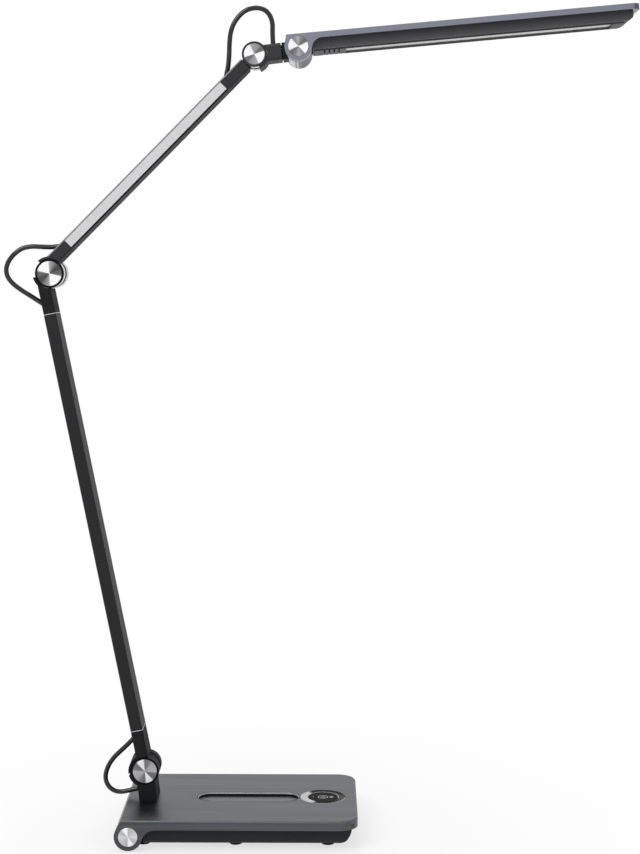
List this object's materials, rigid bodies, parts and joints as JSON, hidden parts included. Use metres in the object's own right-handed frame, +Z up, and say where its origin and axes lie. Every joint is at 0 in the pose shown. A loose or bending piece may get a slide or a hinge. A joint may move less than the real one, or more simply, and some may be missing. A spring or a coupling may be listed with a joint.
{
  "type": "folding desk lamp",
  "caption": "Folding desk lamp with a weighted flat base, two square arms on disc hinges, a swivel link and a slim rectangular light head.",
  "frame": {"origin": "on the surface that the lamp stands on, under the middle of the base plate", "axes": "+X from the post towards the head, +Y away from the viewer across the lamp, +Z up"},
  "size_m": [0.5893, 0.1504, 0.7821],
  "materials": {
    "gunmetal": "brushed, grain left to right",
    "head_shell": "satin",
    "black_tray": "matte",
    "head_case": "satin",
    "ballast_steel": "raw",
    "foot_rubber": "matte",
    "turned_aluminium": "turned, radial shine",
    "dark_chrome": "polished",
    "touch_black": "glossy",
    "circuit_board": "satin",
    "socket_black": "glossy",
    "zinc_steel": "plain",
    "black_casting": "satin",
    "black_cap": "satin",
    "black_bezel": "satin",
    "grey_tube": "satin anodised",
    "bright_panel": "satin",
    "silver_cheek": "satin",
    "diffuser_white": "satin",
    "guide_clear": "glossy",
    "reflector_white": "satin",
    "cable_black": "satin"
  },
  "bodies": {
    "base": {"base_cover": "gunmetal", "base_tray": "black_tray", "ballast_plate": "ballast_steel", "rubber_feet": "foot_rubber", "base_end_discs": "turned_aluminium", "touch_ring": "dark_chrome", "touch_glass": "touch_black", "slot_floor": "gunmetal", "control_board": "circuit_board", "dc_inlet": "socket_black", "base_screws": "zinc_steel", "post": "black_casting", "post_screws": "zinc_steel", "base_joint_bezels": "black_bezel", "base_joint_discs": "turned_aluminium", "base_joint_bolt": "zinc_steel", "base_cable_loop": "cable_black"},
    "lower_arm": {"lower_arm_tube": "grey_tube", "lower_arm_foot_cap": "black_cap", "lower_arm_elbow_cap": "black_cap", "base_joint_washers": "zinc_steel", "elbow_cheeks": "silver_cheek", "elbow_bezels": "black_bezel", "elbow_discs": "turned_aluminium", "elbow_bolt": "zinc_steel", "elbow_cable_loop": "cable_black"},
    "upper_arm": {"upper_arm_tube": "grey_tube", "upper_arm_panels": "bright_panel", "upper_arm_elbow_cap": "black_cap", "upper_arm_wrist_cap": "black_cap", "elbow_washers": "zinc_steel", "wrist_washers": "zinc_steel", "wrist_cable_loop": "cable_black"},
    "link": {"link_body": "black_casting", "wrist_cheeks": "silver_cheek", "wrist_bezels": "black_bezel", "wrist_discs": "turned_aluminium", "wrist_bolt": "zinc_steel"},
    "neck": {"neck": "black_casting", "neck_sleeve": "silver_cheek", "swivel_shaft": "zinc_steel", "swivel_washer": "zinc_steel", "head_washers": "zinc_steel"},
    "head": {"head_plate": "head_shell", "head_housing": "head_case", "light_frame": "head_case", "diffuser": "diffuser_white", "light_guide": "guide_clear", "led_strips": "circuit_board", "reflector": "reflector_white", "head_discs": "turned_aluminium", "head_bolt": "zinc_steel", "head_screws": "zinc_steel"}
  },
  "joints": [
    {"name": "base_tilt", "type": "hinge", "parent": "base", "child": "lower_arm", "pos_m": [-0.09336, 0, 0.0586], "axis": [0, 1, 0], "range_deg": [-5, 95], "deforming": ["base_cable_loop"]},
    {"name": "elbow_tilt", "type": "hinge", "parent": "lower_arm", "child": "upper_arm", "pos_m": [-0.17965, 0, 0.53342], "axis": [0, -1, 0], "range_deg": [-78, 52], "deforming": ["elbow_cable_loop"]},
    {"name": "wrist_tilt", "type": "hinge", "parent": "upper_arm", "child": "link", "pos_m": [0.01163, 0, 0.7357], "axis": [0, 1, 0], "range_deg": [-140, 20], "deforming": ["wrist_cable_loop"]},
    {"name": "head_swivel", "type": "hinge", "parent": "link", "child": "neck", "pos_m": [0.03694, 0, 0.73881], "axis": [0.9925, 0, 0.1219], "range_deg": [-90, 90]},
    {"name": "head_tilt", "type": "hinge", "parent": "neck", "child": "head", "pos_m": [0.05243, 0, 0.74071], "axis": [0, 1, 0], "range_deg": [-80, 80]}
  ]
}
